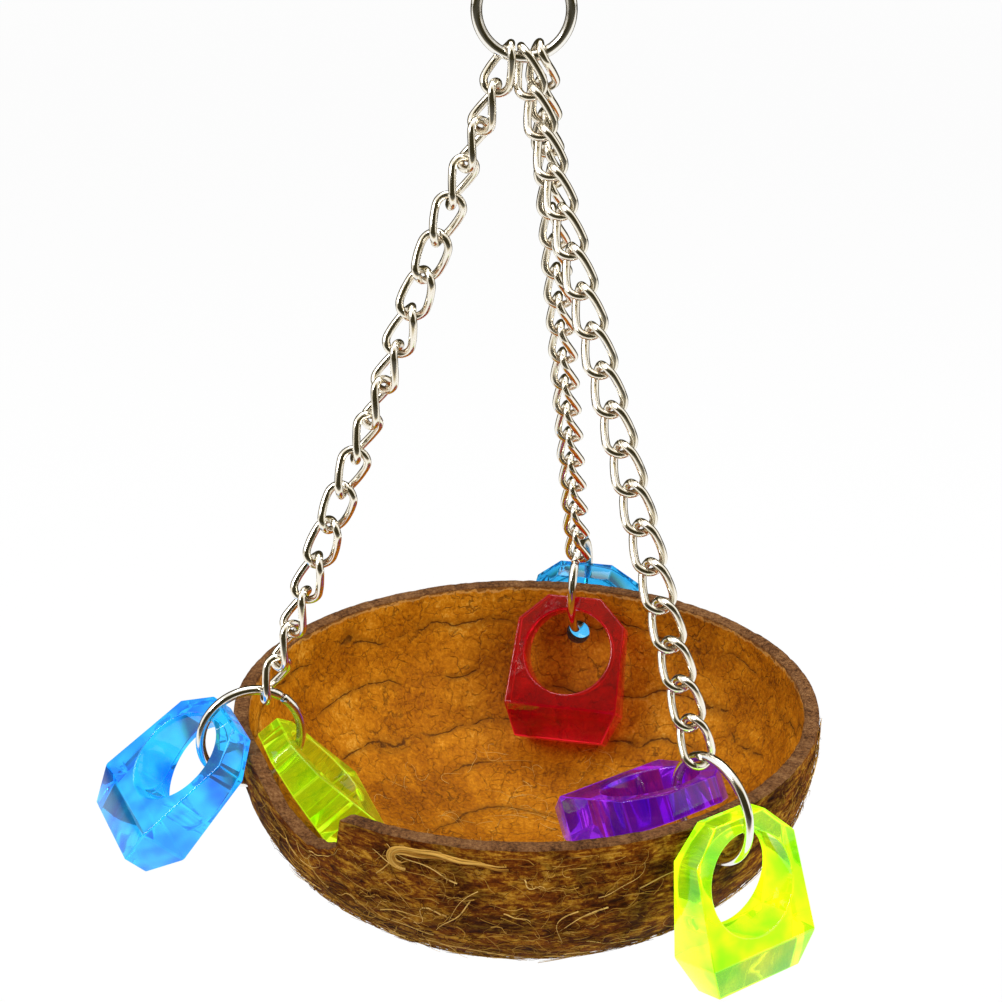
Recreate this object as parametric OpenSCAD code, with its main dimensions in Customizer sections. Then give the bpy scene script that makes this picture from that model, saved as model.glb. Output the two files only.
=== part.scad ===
// Coconut bird nest: half a coconut shell that hangs level on three chains
// from one round ring. Each chain hooks on a wire ring that goes through a hole
// under the shell's rim, and each of those rings also carries two clear moulded
// charms, one outside the shell and one inside it.
// Millimetres, +Z up. The origin is the inside top of the top ring, where it hangs.

/* [Shell] */
// Outer diameter of the shell at its rim
rim_d = 123; // [100:1:150]
// Height of the shell from its rim to its round bottom
shell_h = 45; // [40:1:60]
// Thickness of the shell's wall
wall = 3.4; // [2.8:0.1:4.2]
// How full the sides are: 2 is an ellipse, more is squarer
fullness = 2.4; // [2:0.1:3]
// Diameter of the three holes under the rim
hole_d = 5.4; // [4.5:0.1:6.5]
// Depth of the holes' centres below the rim
hole_drop = 11; // [9:0.5:12]
// Directions of the left, back and right holes, from above
hole_az = [198, 77, 306.5]; // [0:0.5:360]
// How far the shell's middle lies to the right of the top ring, and behind it
nest_off = [1, 1]; // [-3:0.5:3]
// Direction of the middle of the broken dip in the rim
dip_az = 222; // [214:1:228]
// Depth of the broken dip
dip_depth = 9.5; // [2:0.5:12]
// Width of the broken dip along the rim
dip_w = 31; // [15:1:34]

/* [Rings] */
// Inside diameter of the top ring
top_ring_id = 15.6; // [14:0.2:20]
// Wire of the top ring
top_wire = 2.2; // [1.6:0.1:2.6]
// Inside diameter of the three rim rings
rim_ring_id = 18.8; // [18.4:0.1:22]
// Wire of the rim rings
rim_wire = 2; // [1.6:0.1:2.4]
// Gap between a ring's two butted ends
butt_gap = 0.3; // [0.1:0.1:1]

/* [Chains] */
// Links in one chain
link_count = 18; // [10:1:18]
// Length that one link adds to a chain
link_pitch = 7.7; // [6.8:0.1:9]
// Wire of the links
link_wire = 1.6; // [1.2:0.1:1.8]
// Outer width of a link before it is twisted
link_w = 7; // [6.4:0.1:8]
// Angle between a link's two end loops
link_twist = 90; // [60:5:90]
// Play between a link and what it hooks on
link_play = 0.5; // [0.3:0.05:0.7]
// How far neighbouring first links on the top ring reach into each other
top_nest = 0.3; // [0:0.1:0.6]
// Whole half turns that the left, back and right chains wind by on their way down
half_turns = [-2, 0, 0]; // [-4:1:4]

/* [Charms] */
// Width of a charm at its lower shoulders
charm_w = 26; // [24:0.5:30]
// Width of a charm at its upper corners
charm_upper_w = 24.8; // [23:0.2:26]
// Width of a charm's flat top
charm_top_w = 12.4; // [10:0.2:16]
// Thickness of a charm at its flat top
charm_top_t = 5.4; // [4:0.2:6]
// Thickness of a charm at its lower shoulders
charm_t = 11.8; // [9:0.2:13]
// Diameter of the round hole in a charm
charm_hole_d = 20; // [18:0.5:21]
// Thickness of the band above a charm's hole
charm_band = 3; // [2:0.1:3.6]
// Height of a charm from the hole's centre down to its lower shoulders
charm_drop = 13.2; // [12:0.2:16]
// Height of the bevelled base below the shoulders
charm_base_h = 7.2; // [4:0.2:9]
// How far the base's bevels draw in on each side
charm_bevel = 2.8; // [1:0.1:4]
// Lean of the left, back and right outer charms beyond the least that fits between ring and rim
outer_lean = [3, 20, 12]; // [0:1:36]
// Turn of the left, back and right outer charms about their own height, from facing straight out
outer_turn = [10, 0, 0]; // [0:1:12]
// Lean of the left, back and right inner charms beyond the least that clears the lining
inner_lean = [6, 2, 32]; // [0:1:36]

/* [Fits] */
// Clearance between a charm and the ring or rim that it leans on
charm_clear = 0.3; // [0.2:0.05:0.5]
// Clearance between a rim ring and the top of its hole
ring_clear = 0.4; // [0.25:0.05:0.6]

/* [Hidden] */
$fn = 64;
leg_names = ["left", "back", "right"];
legs = [0, 1, 2];
sides = [1, -1];
link_color = "silver";
charm_colors = [["dodgerblue", "greenyellow"], ["deepskyblue", "crimson"], ["greenyellow", "indigo"]];

// The shell's outline, as a radius for each depth below the rim
rim_r = rim_d / 2;
profile_steps = 20;
function side_r(depth, r, h) = r * pow(max(0, 1 - pow(depth / h, fullness)), 1 / fullness);
function arc_depth(i, h) = h * sin(90 * i / profile_steps);

// The rim ring in its own upright plane: radius out from the shell's axis, height over the rim
ring_r = rim_ring_id / 2;
hole_mid_r = side_r(hole_drop, rim_r, shell_h) - wall / 2;
hole_top = hole_d / 2 - hole_drop;
ring_mid_z = hole_top - ring_clear + ring_r;

// The chains run straight from the top ring's wire toward the middles of the rim rings
top_r = top_ring_id / 2;
top_mid_z = -top_r;
top_wire_r = top_r + top_wire / 2;
leg_reach = link_count * link_pitch - top_wire / 2 + ring_r;
leg_drop = sqrt(pow(leg_reach, 2) - pow(hole_mid_r, 2));
rim_z = top_mid_z - top_wire_r - leg_drop - ring_mid_z;
top_step = link_w / 2 - top_nest;
top_x = [-top_step, top_step, 0];
function unit(v) = v / norm(v);
function top_hook(leg) = [top_x[leg], 0, top_mid_z - sqrt(pow(top_wire_r, 2) - pow(top_x[leg], 2))];
function rim_hook(leg) = [
    nest_off.x + hole_mid_r * cos(hole_az[leg]),
    nest_off.y + hole_mid_r * sin(hole_az[leg]),
    rim_z + ring_mid_z
];
function leg_dir(leg) = unit(rim_hook(leg) - top_hook(leg));
function leg_top(leg) = top_hook(leg) - leg_dir(leg) * top_wire / 2;
function leg_run(leg) = rim_hook(leg) - leg_dir(leg) * ring_r - leg_top(leg);
function leg_az(leg) = atan2(leg_run(leg).y, leg_run(leg).x);
function leg_tilt(leg) = atan2(norm([leg_run(leg).x, leg_run(leg).y]), -leg_run(leg).z);
function link_mid(leg, k) = leg_top(leg) + leg_run(leg) * (k - 0.5) / link_count;

// A chain's first link straddles the top ring and its last one the rim ring
function first_roll(leg) = 90 - leg_az(leg) + link_twist / 2;
function last_roll(leg) = 90 + hole_az[leg] - leg_az(leg) - link_twist / 2;
function turn_near(a) = a - 180 * round(a / 180);
function leg_turn(leg) = turn_near(last_roll(leg) - first_roll(leg)) + 180 * half_turns[leg];
function link_roll(leg, k) = first_roll(leg) + leg_turn(leg) * (k - 1) / (link_count - 1);

// The centre line of one twisted link, as points round a long oval
link_len = link_pitch + link_wire + link_play;
bow_r = (link_w - link_wire) / 2;
bow_z = link_len / 2 - bow_r;
bow_steps = 6;
side_steps = 3;
wire_sides = 6;
oval = concat(
    [for (i = [0:bow_steps]) [bow_r * cos(180 * i / bow_steps), bow_z + bow_r * sin(180 * i / bow_steps)]],
    [for (i = [1:side_steps - 1]) [-bow_r, bow_z - 2 * bow_z * i / side_steps]],
    [for (i = [0:bow_steps]) [-bow_r * cos(180 * i / bow_steps), -bow_z - bow_r * sin(180 * i / bow_steps)]],
    [for (i = [1:side_steps - 1]) [bow_r, -bow_z + 2 * bow_z * i / side_steps]]
);
oval_n = len(oval);
function twist_at(z) = -link_twist * z / link_len;
function oval_at(i) = oval[(i + oval_n) % oval_n];
function link_point(i) = [
    oval_at(i).x * cos(twist_at(oval_at(i).y)),
    oval_at(i).x * sin(twist_at(oval_at(i).y)),
    oval_at(i).y
];
function link_along(i) = unit(link_point(i + 1) - link_point(i - 1));
function link_flat(i) = [-sin(twist_at(oval_at(i).y)), cos(twist_at(oval_at(i).y)), 0];
function link_out(i) = unit(cross(link_flat(i), link_along(i)));
function link_up(i) = cross(link_along(i), link_out(i));
function link_skin(i, a) = link_point(i) + link_wire / 2 * (link_out(i) * cos(a) + link_up(i) * sin(a));

// A charm's outline from the front and from the side, round the centre of its hole
charm_hole_r = charm_hole_d / 2;
charm_top = charm_hole_r + charm_band;
charm_upper = charm_top - (charm_upper_w - charm_top_w) / 2;
charm_foot = -charm_drop - charm_base_h;
charm_taper = (charm_t - charm_top_t) / 2 / (charm_top + charm_drop);
charm_half_t = charm_top_t / 2 + charm_taper * charm_top;
front_half = [
    [charm_top_w / 2, charm_top],
    [charm_upper_w / 2, charm_upper],
    [charm_w / 2, -charm_drop],
    [charm_w / 2 - charm_bevel, charm_foot]
];
side_half = [
    [charm_top_t / 2, charm_top],
    [charm_t / 2, -charm_drop],
    [charm_t / 2 - charm_bevel, charm_foot]
];
function both_halves(half) = concat(half, [for (i = [len(half) - 1:-1:0]) [-half[i].x, half[i].y]]);

// Where a charm hangs: the far lower edge of its band rests on the ring's inside,
// and its face toward the wall clears the rim, a turned one further out.
// Measured away from the wall's middle at the hole, and up from the ring's middle.
seat_r = ring_r - charm_clear;
band_t = 2 * (charm_half_t - charm_taper * charm_hole_r) * cos(atan(charm_taper));
function rim_spot(side) = [side > 0 ? rim_r - hole_mid_r : hole_mid_r - rim_r + wall, -ring_mid_z];
function charm_turn(leg, side) = side > 0 ? outer_turn[leg] : 0;
function turn_room(turn) = (rim_r + band_t) * (1 / cos(turn) - 1);
function face_depth(turn) = band_t + charm_clear + turn_room(turn);
function face_room(turn, side) = (seat_r - face_depth(turn)) / norm(rim_spot(side));
function least_face(turn, side) =
    acos(min(1, face_room(turn, side))) + atan2(rim_spot(side).y, rim_spot(side).x);
function least_lean(turn, side) = max(0, least_face(turn, side) + atan(charm_taper));
function lean_down(lean) = [sin(lean), -cos(lean)];
function lean_out(lean) = [cos(lean), sin(lean)];
function face_out(lean) = lean_out(lean - atan(charm_taper));
function face_down(lean) = lean_down(lean - atan(charm_taper));
function seat_out(lean, turn, side) = rim_spot(side) * face_out(lean) + face_depth(turn);
function seat_point(lean, turn, side) =
    let (out = seat_out(lean, turn, side))
    out * face_out(lean) + sqrt(pow(seat_r, 2) - pow(out, 2)) * face_down(lean);
function band_edge(side) = [side * (charm_half_t - charm_taper * charm_hole_r), 0, charm_hole_r];

// An inner charm also leans until its lower edges, at both ends, clear the lining
function lining_gap(lean, x, z, half_w) =
    let (
        seat = seat_point(lean, 0, -1),
        from = [x, z] - [band_edge(-1).x, charm_hole_r],
        r = hole_mid_r - seat.x + from.x * cos(lean) + from.y * sin(lean),
        depth = from.x * sin(lean) - from.y * cos(lean) - ring_mid_z - seat.y
    )
    side_r(depth, rim_r - wall, shell_h - wall) - norm([r, half_w]);
function clears_lining(lean) =
    lining_gap(lean, charm_t / 2, -charm_drop, charm_w / 2) > charm_clear
    && lining_gap(lean, charm_t / 2 - charm_bevel, charm_foot, charm_w / 2 - charm_bevel) > charm_clear;
function lining_lean(lean) = lean > 90 || clears_lining(lean) ? lean : lining_lean(lean + 0.5);
function charm_lean(leg, side) = side > 0
    ? least_lean(charm_turn(leg, side), side) + outer_lean[leg]
    : lining_lean(least_lean(0, side)) + inner_lean[leg];

// Names of the nodes
function link_name(leg, k) = str(leg_names[leg], "_link_", k < 10 ? "0" : "", k);
function ring_name(leg) = str(leg_names[leg], "_ring");
function charm_name(leg, side) = str(leg_names[leg], side > 0 ? "_outer_charm" : "_inner_charm");

// The broken dip, drawn flat as seen from outside and cut in toward the axis
module rim_dip() {
    above = 1;
    rotate([0, 0, dip_az])
        rotate([90, 0, 90])
            linear_extrude(rim_r + 1)
                polygon([
                    [-dip_w * 0.6, above],
                    [-dip_w * 0.6, 0],
                    [-dip_w * 0.42, -dip_depth * 0.2],
                    [-dip_w * 0.2, -dip_depth * 0.7],
                    [dip_w * 0.08, -dip_depth],
                    [dip_w * 0.3, -dip_depth * 0.85],
                    [dip_w * 0.4, -dip_depth * 0.62],
                    [dip_w * 0.4, above]
                ]);
}

// Half shell of one even wall, drilled under the rim
module shell() {
    in_r = rim_r - wall;
    in_h = shell_h - wall;
    color("saddlebrown")
        translate([nest_off.x, nest_off.y, rim_z])
            difference() {
                rotate_extrude()
                    polygon(concat(
                        [for (i = [0:profile_steps]) [
                            side_r(arc_depth(i, shell_h), rim_r, shell_h),
                            -arc_depth(i, shell_h)
                        ]],
                        [for (i = [profile_steps:-1:0]) [
                            side_r(arc_depth(i, in_h), in_r, in_h),
                            -arc_depth(i, in_h)
                        ]]
                    ));
                for (leg = legs)
                    rotate([0, 0, hole_az[leg]])
                        translate([hole_mid_r, 0, -hole_drop])
                            rotate([0, 90, 0])
                                cylinder(d = hole_d, h = 4 * wall, center = true);
                rim_dip();
            }
}

// A round wire ring standing upright, with its butted ends at seam degrees
module wire_ring(inside, wire, seam) {
    gap = butt_gap / (inside + wire) * 360 / PI;
    rotate([90, 0, 0])
        rotate([0, 0, seam + gap / 2])
            rotate_extrude(angle = 360 - gap)
                translate([(inside + wire) / 2, 0])
                    circle(d = wire);
}

module top_ring() {
    color("gainsboro")
        translate([0, 0, top_mid_z])
            wire_ring(top_ring_id, top_wire, 150);
}

module rim_ring(leg) {
    color("gainsboro")
        translate(rim_hook(leg))
            rotate([0, 0, hole_az[leg]])
                wire_ring(rim_ring_id, rim_wire, 130);
}

// One twisted link, swept round its oval
module twisted_link() {
    next = [for (j = [0:wire_sides - 1]) (j + 1) % wire_sides];
    polyhedron(
        points = [for (i = [0:oval_n - 1]) for (j = [0:wire_sides - 1]) link_skin(i, 360 * j / wire_sides)],
        faces = [for (i = [0:oval_n - 1]) for (j = [0:wire_sides - 1])
            let (a = i * wire_sides, b = ((i + 1) % oval_n) * wire_sides)
            each [[a + j, b + j, b + next[j]], [a + j, b + next[j], a + next[j]]]]
    );
}

module chain_link(leg, k) {
    color(link_color)
        translate(link_mid(leg, k))
            rotate([0, -leg_tilt(leg), leg_az(leg)])
                rotate([0, 0, link_roll(leg, k)])
                    twisted_link();
}

// One charm, standing on its base with the hole along X
module charm_form() {
    difference() {
        intersection() {
            rotate([90, 0, 90])
                linear_extrude(charm_t + 2, center = true)
                    polygon(both_halves(front_half));
            rotate([90, 0, 0])
                linear_extrude(charm_w + 2, center = true)
                    polygon(both_halves(side_half));
        }
        rotate([0, 90, 0])
            cylinder(d = charm_hole_d, h = charm_t + 2, center = true);
    }
}

module charm(leg, side) {
    lean = charm_lean(leg, side);
    turn = charm_turn(leg, side);
    seat = seat_point(lean, turn, side);
    color(charm_colors[leg][side > 0 ? 0 : 1], 0.7)
        translate([nest_off.x, nest_off.y, rim_z])
            rotate([0, 0, hole_az[leg]])
                translate([hole_mid_r + side * seat.x, 0, ring_mid_z + seat.y])
                    rotate([0, -side * lean, 0])
                        rotate([0, 0, turn])
                            translate(-band_edge(side))
                                charm_form();
}

shell();
top_ring();
for (leg = legs) chain_link(leg, 1);  // top_links
for (leg = legs) chain_link(leg, 2);  // second_links
for (leg = legs) chain_link(leg, link_count);  // end_links
for (leg = legs) rim_ring(leg);
for (leg = legs) for (side = sides) charm(leg, side);
for (leg = legs) for (k = [3:link_count - 1]) chain_link(leg, k);
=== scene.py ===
"""Coconut bird nest: half a shell on three twisted-link chains, with six clear acrylic charms.

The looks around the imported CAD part. Sizes are in millimetres, as in the part's source, and
each mesh is scaled to metres when it is made.
"""

import math

import bmesh
import bpy
import numpy as np
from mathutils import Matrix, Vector, noise


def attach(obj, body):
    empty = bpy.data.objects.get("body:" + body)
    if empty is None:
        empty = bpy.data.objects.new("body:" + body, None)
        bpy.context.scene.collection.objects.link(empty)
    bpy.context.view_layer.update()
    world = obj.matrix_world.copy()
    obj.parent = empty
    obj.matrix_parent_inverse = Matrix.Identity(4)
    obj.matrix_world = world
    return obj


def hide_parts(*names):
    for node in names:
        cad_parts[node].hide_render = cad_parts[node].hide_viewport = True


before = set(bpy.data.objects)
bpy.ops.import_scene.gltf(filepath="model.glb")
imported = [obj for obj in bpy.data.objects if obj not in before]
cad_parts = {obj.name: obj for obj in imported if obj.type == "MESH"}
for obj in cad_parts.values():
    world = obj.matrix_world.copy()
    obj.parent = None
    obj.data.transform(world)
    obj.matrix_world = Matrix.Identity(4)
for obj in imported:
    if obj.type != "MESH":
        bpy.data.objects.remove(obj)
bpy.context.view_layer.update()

MM = 0.001
FIBRE_SEED = 11
rng = np.random.default_rng(FIBRE_SEED)

# Shell
RIM_D = 123
SHELL_H = 45
WALL = 3.4
FULLNESS = 2.4
HOLE_D = 5.4
HOLE_DROP = 11
HOLE_AZ = (198, 77, 306.5)
NEST_OFF = (1, 1)
DIP_AZ = 222
DIP_DEPTH = 9.5
DIP_W = 31

# Rings
TOP_RING_ID = 15.6
TOP_WIRE = 2.2
TOP_SEAM = 150
RIM_RING_ID = 18.8
RIM_WIRE = 2
RIM_SEAM = 130
BUTT_GAP = 0.3
RING_CLEAR = 0.4

# Chains
LINK_COUNT = 18
LINK_PITCH = 7.7
LINK_WIRE = 1.6
LINK_W = 7
LINK_TWIST = 90
LINK_PLAY = 0.5
TOP_STEP = 3.2
HALF_TURNS = (-2, 0, 0)

# Charms
CHARM_W = 26
CHARM_UPPER_W = 24.8
CHARM_TOP_W = 12.4
CHARM_TOP_T = 5.4
CHARM_T = 11.8
CHARM_HOLE_D = 20
CHARM_BAND = 3
CHARM_DROP = 13.2
CHARM_BASE_H = 7.2
CHARM_BEVEL = 2.8
OUTER_LEAN = (3, 20, 12)
OUTER_TURN = (10, 0, 0)
INNER_LEAN = (36, 32, 62)
CHARM_CLEAR = 0.3

LEGS = ("left", "back", "right")
OUTER, INNER = 1, -1

# Worked-out sizes
RIM_R = RIM_D / 2
RING_R = RIM_RING_ID / 2


def side_r(depth, top_r=RIM_R, height=SHELL_H):
    """Radius of the shell's skin at a depth under the rim."""
    return top_r * np.maximum(0, 1 - (depth / height) ** FULLNESS) ** (1 / FULLNESS)


HOLE_MID_R = float(side_r(HOLE_DROP)) - WALL / 2
RING_MID_Z = HOLE_D / 2 - HOLE_DROP - RING_CLEAR + RING_R
TOP_R = TOP_RING_ID / 2
TOP_MID_Z = -TOP_R
TOP_WIRE_R = TOP_R + TOP_WIRE / 2
LEG_REACH = LINK_COUNT * LINK_PITCH - TOP_WIRE / 2 + RING_R
LEG_DROP = math.sqrt(LEG_REACH**2 - HOLE_MID_R**2)
RIM_Z = TOP_MID_Z - TOP_WIRE_R - LEG_DROP - RING_MID_Z
TOP_X = (-TOP_STEP, TOP_STEP, 0)
LINK_LEN = LINK_PITCH + LINK_WIRE + LINK_PLAY
BOW_R = (LINK_W - LINK_WIRE) / 2
BOW_Z = LINK_LEN / 2 - BOW_R

CHARM_HOLE_R = CHARM_HOLE_D / 2
CHARM_TOP = CHARM_HOLE_R + CHARM_BAND
CHARM_UPPER = CHARM_TOP - (CHARM_UPPER_W - CHARM_TOP_W) / 2
CHARM_TAPER = (CHARM_T - CHARM_TOP_T) / 2 / (CHARM_TOP + CHARM_DROP)
CHARM_HALF_T = CHARM_TOP_T / 2 + CHARM_TAPER * CHARM_TOP
TAPER_ANGLE = math.degrees(math.atan(CHARM_TAPER))
SEAT_R = RING_R - CHARM_CLEAR
EDGE_T = CHARM_HALF_T - CHARM_TAPER * CHARM_HOLE_R
BAND_T = 2 * EDGE_T * math.cos(math.radians(TAPER_ANGLE))


# Places


def unit(v):
    """A direction at length one."""
    return np.asarray(v, float) / np.linalg.norm(v)


def units(rows):
    """Each row of a table at length one."""
    return rows / np.linalg.norm(rows, axis=1)[:, None]


def turn(axis, degrees):
    """Turning matrix about Y or Z."""
    c, s = math.cos(math.radians(degrees)), math.sin(math.radians(degrees))
    rows = {
        "Y": [[c, 0, s], [0, 1, 0], [-s, 0, c]],
        "Z": [[c, -s, 0], [s, c, 0], [0, 0, 1]],
    }
    return np.array(rows[axis])


def on_shell(azimuth, r, z):
    """Point at a radius and azimuth round the shell's axis, z up from the rim."""
    a = np.radians(azimuth)
    x, y = NEST_OFF[0] + r * np.cos(a), NEST_OFF[1] + r * np.sin(a)
    return np.stack([x, y, RIM_Z + z + 0 * a], axis=-1)


def rim_hook(leg):
    """Middle of a rim ring."""
    return on_shell(HOLE_AZ[leg], HOLE_MID_R, RING_MID_Z)


def leg_ends(leg):
    """Where a chain's pitch line starts and how it runs to its rim ring."""
    x = TOP_X[leg]
    hook = np.array([x, 0, TOP_MID_Z - math.sqrt(TOP_WIRE_R**2 - x**2)])
    along = unit(rim_hook(leg) - hook)
    start = hook - along * TOP_WIRE / 2
    return start, rim_hook(leg) - along * RING_R - start


def link_place(leg, k):
    """Turning matrix and middle of link k, counted from the top."""
    start, run = leg_ends(leg)
    azimuth = math.degrees(math.atan2(run[1], run[0]))
    tilt = math.degrees(math.atan2(math.hypot(run[0], run[1]), -run[2]))
    first = 90 - azimuth + LINK_TWIST / 2
    last = 90 + HOLE_AZ[leg] - azimuth - LINK_TWIST / 2
    between = last - first
    leg_turn = between - 180 * math.floor(between / 180 + 0.5) + 180 * HALF_TURNS[leg]
    roll = first + leg_turn * (k - 1) / (LINK_COUNT - 1)
    return (
        turn("Z", azimuth) @ turn("Y", -tilt) @ turn("Z", roll),
        start + run * (k - 0.5) / LINK_COUNT,
    )


def charm_place(leg, side):
    """Turning matrix and hole middle of a charm that hangs on its ring and clears the rim."""
    facing = OUTER_TURN[leg] if side == OUTER else 0
    spot = np.array(
        [RIM_R - HOLE_MID_R if side == OUTER else HOLE_MID_R - RIM_R + WALL, -RING_MID_Z]
    )
    depth = BAND_T + CHARM_CLEAR + (RIM_R + BAND_T) * (1 / math.cos(math.radians(facing)) - 1)
    room = min(1, (SEAT_R - depth) / np.linalg.norm(spot))
    least = math.degrees(math.acos(room) + math.atan2(spot[1], spot[0])) + TAPER_ANGLE
    lean = max(0, least) + (OUTER_LEAN if side == OUTER else INNER_LEAN)[leg]
    face = math.radians(lean - TAPER_ANGLE)
    out = np.array([math.cos(face), math.sin(face)])
    down = np.array([math.sin(face), -math.cos(face)])
    seat_out = spot @ out + depth
    seat = seat_out * out + math.sqrt(SEAT_R**2 - seat_out**2) * down
    matrix = turn("Z", HOLE_AZ[leg]) @ turn("Y", -side * lean) @ turn("Z", facing)
    hang = on_shell(HOLE_AZ[leg], HOLE_MID_R + side * seat[0], RING_MID_Z + seat[1])
    return matrix, hang - matrix @ np.array([side * EDGE_T, 0, CHARM_HOLE_R])


# Meshes


def new_piece(name, verts, faces, materials, body=None, nodes=(), values=None, kinds=None):
    """A smooth mesh piece from points in millimetres, which may ride on a body and stand for CAD nodes."""
    mesh = bpy.data.meshes.new(name)
    mesh.from_pydata((np.asarray(verts) * MM).tolist(), [], [tuple(map(int, f)) for f in faces])
    mesh.update()
    for material in materials:
        mesh.materials.append(material)
    mesh.polygons.foreach_set("use_smooth", [True] * len(mesh.polygons))
    if kinds is not None:
        mesh.polygons.foreach_set("material_index", np.asarray(kinds, np.int32))
    for key, numbers in (values or {}).items():
        layer = mesh.attributes.new(key, "FLOAT", "POINT")
        layer.data.foreach_set("value", np.asarray(numbers, np.float32))
    piece = bpy.data.objects.new(name, mesh)
    bpy.context.collection.objects.link(piece)
    if body:
        settle(piece, body, nodes)
    return piece


def settle(piece, body, nodes):
    """Puts a finished piece on its body."""
    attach(piece, body)
    if nodes:
        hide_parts(*nodes)


def grid_faces(rows, columns, row_closed, column_closed):
    """Quads of a grid of points, joined round where a direction is closed."""
    faces = []
    for i in range(rows if row_closed else rows - 1):
        for j in range(columns if column_closed else columns - 1):
            a, b = i * columns, ((i + 1) % rows) * columns
            n = (j + 1) % columns
            faces.append((a + j, a + n, b + n, b + j))
    return faces


def end_faces(count, sides):
    """The two faces that close the first and the last ring of a tube with this many points."""
    return [tuple(range(sides))[::-1], tuple(range(count - sides, count))]


def swept(path, across, radius, sides, closed):
    """Round wire along a path: across is a direction square to the path at each point."""
    ahead = units(np.roll(path, -1, 0) - np.roll(path, 1, 0) if closed else np.gradient(path, axis=0))
    second = units(np.cross(ahead, across))
    first = np.cross(second, ahead)
    angles = np.linspace(0, 2 * np.pi, sides, endpoint=False)
    radius = np.broadcast_to(radius, len(path))[:, None, None]
    ring = np.cos(angles)[None, :, None] * first[:, None] + np.sin(angles)[None, :, None] * second[:, None]
    verts = (path[:, None] + radius * ring).reshape(-1, 3)
    faces = grid_faces(len(path), sides, closed, True)
    return verts, faces if closed else faces + end_faces(len(verts), sides)


def bar_form(radius, half_length, sides, first=0):
    """A round bar along X to cut with. The corner that its walls start from sets the seams of the cut."""
    a = np.linspace(0, 2 * np.pi, sides, endpoint=False)
    ring = np.stack([0 * a, radius * np.cos(a), radius * np.sin(a)], 1)
    reach = np.array([half_length, 0, 0])
    verts = np.concatenate([ring - reach, ring + reach])
    walls = [wall[first:] + wall[:first] for wall in grid_faces(2, sides, False, True)]
    return verts, walls + end_faces(len(verts), sides)


def merged(parts):
    """Several (points, faces, values) as one."""
    verts, faces, base = [], [], 0
    for part in parts:
        verts.append(part[0])
        faces += [tuple(i + base for i in f) for f in part[1]]
        base += len(part[0])
    return np.concatenate(verts), faces, np.concatenate([p[2] for p in parts])


def carve(piece, cutters, solver):
    """Cuts the cutters out of a piece, keeps the result as its mesh, and takes the cutters away."""
    for cutter in cutters:
        cut = piece.modifiers.new("cut", "BOOLEAN")
        cut.object, cut.operation, cut.solver = cutter, "DIFFERENCE", solver
    keep_shape(piece)
    for cutter in cutters:
        bpy.data.objects.remove(cutter, do_unlink=True)


def keep_shape(piece):
    """Turns a piece's modifiers into its mesh."""
    bpy.context.view_layer.update()
    shown = piece.evaluated_get(bpy.context.evaluated_depsgraph_get())
    mesh = bpy.data.meshes.new_from_object(shown)
    piece.modifiers.clear()
    piece.data = mesh


def reworked(piece, work):
    """Has a function change the mesh of a piece."""
    form = bmesh.new()
    form.from_mesh(piece.data)
    work(form)
    form.to_mesh(piece.data)
    form.free()


def drop_idle_points(form):
    """Takes out points that lie along an edge between two faces and join nothing else."""
    idle = [point for point in form.verts if len(point.link_edges) == 2]
    bmesh.ops.dissolve_verts(form, verts=idle)


def face_outward(form):
    """Turns every face of a closed mesh to the outside."""
    bmesh.ops.recalc_face_normals(form, faces=form.faces)


# Chain and rings

BOW_STEPS = 18
SIDE_STEPS = 10
LINK_SIDES = 14
RING_STEPS = 120
RING_SIDES = 20
BUTT_ROUND = 0.86

# How much of the painted shade on the inside of a link's bends its straight sides have
SIDE_MARK = 0.45


def link_form():
    """One twisted link round its own middle, and how far each point is toward the oval's inside."""
    bow = np.linspace(0, np.pi, BOW_STEPS + 1)
    rise = np.linspace(-BOW_Z, BOW_Z, SIDE_STEPS + 1)[1:-1]
    x = np.concatenate([BOW_R * np.cos(bow), -BOW_R + 0 * rise, -BOW_R * np.cos(bow), BOW_R + 0 * rise])
    z = np.concatenate([BOW_Z + BOW_R * np.sin(bow), -rise, -BOW_Z - BOW_R * np.sin(bow), rise])
    swirl = np.radians(-LINK_TWIST * z / LINK_LEN)
    path = np.stack([x * np.cos(swirl), x * np.sin(swirl), z], 1)
    across = np.stack([-np.sin(swirl), np.cos(swirl), 0 * z], 1)
    verts, faces = swept(path, across, LINK_WIRE / 2, LINK_SIDES, True)
    spine = np.repeat(path, LINK_SIDES, 0)
    core = np.stack([0 * z, 0 * z, np.clip(z, -BOW_Z, BOW_Z)], 1)
    inward = units(np.repeat(core - path, LINK_SIDES, 0))
    inside = np.einsum("ij,ij->i", (verts - spine) / (LINK_WIRE / 2), inward) * 0.5 + 0.5
    bend = np.repeat(np.clip((np.abs(z) - BOW_Z) / BOW_R, 0, 1), LINK_SIDES)
    return verts, faces, inside * (SIDE_MARK + (1 - SIDE_MARK) * bend)


def links(places):
    """Links at (leg, number) places as one mesh."""
    verts, faces, inner = link_form()
    parts = []
    for leg, k in places:
        matrix, middle = link_place(leg, k)
        parts.append((verts @ matrix.T + middle, faces, inner))
    return merged(parts)


def chain_pieces(metal):
    """All three chains, with the nodes that the part gives them."""
    sets = {
        "top_links": ("first_links", [(leg, 1) for leg in range(3)], ["top_links"]),
        "second_links": ("nest", [(leg, 2) for leg in range(3)], ["second_links"]),
        "end_links": ("nest", [(leg, LINK_COUNT) for leg in range(3)], ["end_links"]),
    }
    for leg, name in enumerate(LEGS):
        numbers = range(3, LINK_COUNT)
        nodes = [f"{name}_link_{k:02d}" for k in numbers]
        sets[f"{name}_chain"] = ("nest", [(leg, k) for k in numbers], nodes)
    for name, (body, places, nodes) in sets.items():
        verts, faces, inner = links(places)
        new_piece(f"{name}_wire", verts, faces, [metal], body, nodes, {"inner": inner})


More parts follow.
